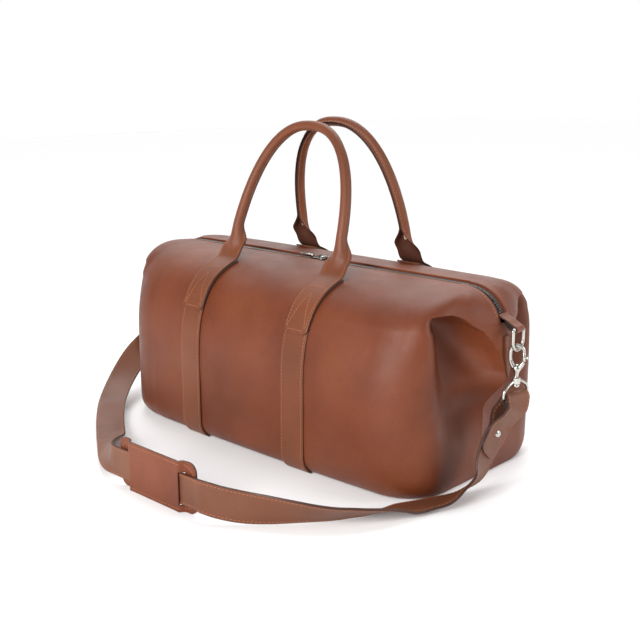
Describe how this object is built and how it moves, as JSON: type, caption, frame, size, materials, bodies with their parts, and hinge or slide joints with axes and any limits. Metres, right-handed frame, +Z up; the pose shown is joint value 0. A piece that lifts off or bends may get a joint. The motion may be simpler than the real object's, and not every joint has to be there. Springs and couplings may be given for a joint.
{
  "type": "weekender bag",
  "caption": "Leather weekender bag with a zipped top, two rolled carry handles, stitched bands and a hooked shoulder strap with a sliding pad",
  "frame": {"origin": "the middle of the base, on the surface that the bag stands on", "axes": "+Z up, X along the length with the zip, -Y the front face where the strap lies"},
  "size_m": [0.6482, 0.4578, 0.4192],
  "materials": {
    "leather": "semi-matte pebbled brown leather",
    "strap_leather": "semi-matte brown leather, darker inside",
    "pad_leather": "semi-matte brown leather",
    "lining": "plain woven dark brown lining",
    "board": "stiff pressed board",
    "rope": "twisted cotton rope core",
    "zip_tape": "woven brown zip tape",
    "zip_metal": "dark nickel plated zip metal",
    "nickel": "satin nickel plated zinc and steel"
  },
  "bodies": {
    "bag": {"front_panel": "leather", "back_panel": "leather", "base_panel": "leather", "base_board": "board", "lining_front": "lining", "lining_back": "lining", "lining_base": "lining", "band_front_left": "leather", "band_front_right": "leather", "band_back_left": "leather", "band_back_right": "leather", "tab_front_left": "leather", "tab_front_right": "leather", "tab_back_left": "leather", "tab_back_right": "leather", "end_tab_left": "leather", "end_tab_right": "leather", "ring_chape_left": "leather", "ring_chape_right": "leather", "zip_tape_front": "zip_tape", "zip_tape_back": "zip_tape", "zip_teeth": "zip_metal"},
    "handle_front": {"handle_front": "leather", "handle_core_front": "rope"},
    "handle_back": {"handle_back": "leather", "handle_core_back": "rope"},
    "slider_left": {"slider_left": "zip_metal"},
    "slider_right": {"slider_right": "zip_metal"},
    "pull_left": {"pull_left": "zip_metal"},
    "pull_right": {"pull_right": "zip_metal"},
    "d_ring_left": {"d_ring_left": "nickel"},
    "d_ring_right": {"d_ring_right": "nickel"},
    "strap": {"shoulder_strap": "strap_leather", "strap_rivets": "nickel", "strap_ring_left": "nickel", "strap_ring_right": "nickel"},
    "hook_left": {"hook_left": "nickel"},
    "hook_right": {"hook_right": "nickel"},
    "gate_left": {"gate_left": "nickel"},
    "gate_right": {"gate_right": "nickel"},
    "pad": {"shoulder_pad": "pad_leather"}
  },
  "joints": [
    {"name": "handle_front_swing", "type": "hinge", "parent": "bag", "child": "handle_front", "pos_m": [0, -0.07013, 0.2389], "axis": [1, 0, 0], "range_deg": [-3, 105]},
    {"name": "handle_back_swing", "type": "hinge", "parent": "bag", "child": "handle_back", "pos_m": [0, 0.07013, 0.2389], "axis": [-1, 0, 0], "range_deg": [-3, 105]},
    {"name": "slider_left_slide", "type": "slide", "parent": "bag", "child": "slider_left", "axis": [-1, 0, 0], "range_m": [0, 0.205]},
    {"name": "slider_right_slide", "type": "slide", "parent": "bag", "child": "slider_right", "axis": [1, 0, 0], "range_m": [0, 0.205]},
    {"name": "pull_left_flip", "type": "hinge", "parent": "slider_left", "child": "pull_left", "pos_m": [-0.006, 0, 0.23815], "axis": [0, 1, 0], "range_deg": [0, 90]},
    {"name": "pull_right_flip", "type": "hinge", "parent": "slider_right", "child": "pull_right", "pos_m": [0.006, 0, 0.23815], "axis": [0, -1, 0], "range_deg": [0, 90]},
    {"name": "d_ring_left_swing", "type": "hinge", "parent": "bag", "child": "d_ring_left", "pos_m": [-0.311, 0, 0.192], "axis": [0, 1, 0], "range_deg": [-1, 1]},
    {"name": "d_ring_right_swing", "type": "hinge", "parent": "bag", "child": "d_ring_right", "pos_m": [0.311, 0, 0.192], "axis": [0, -1, 0], "range_deg": [-1, 1]},
    {"name": "strap_lift", "type": "hinge", "parent": "bag", "child": "strap", "pos_m": [0, 0, 0.178], "axis": [-1, 0, 0], "range_deg": [0, 80]},
    {"name": "hook_left_swivel", "type": "hinge", "parent": "strap", "child": "hook_left", "pos_m": [-0.311, 0, 0.1311], "axis": [0, 0, 1], "range_deg": [-10, 10]},
    {"name": "hook_right_swivel", "type": "hinge", "parent": "strap", "child": "hook_right", "pos_m": [0.311, 0, 0.1311], "axis": [0, 0, 1], "range_deg": [-10, 10]},
    {"name": "gate_left_open", "type": "hinge", "parent": "hook_left", "child": "gate_left", "pos_m": [-0.31767, -0.00385, 0.155], "axis": [-0.5, 0.866, 0], "range_deg": [0, 25], "stiffness_Nm_per_rad": 0.02, "springref_deg": -17.19},
    {"name": "gate_right_open", "type": "hinge", "parent": "hook_right", "child": "gate_right", "pos_m": [0.31767, 0.00385, 0.155], "axis": [0.5, -0.866, 0], "range_deg": [0, 25], "stiffness_Nm_per_rad": 0.02, "springref_deg": -17.19},
    {"name": "pad_slide", "type": "slide", "parent": "strap", "child": "pad", "axis": [1, 0, 0], "range_m": [-0.006, 0.006]}
  ]
}
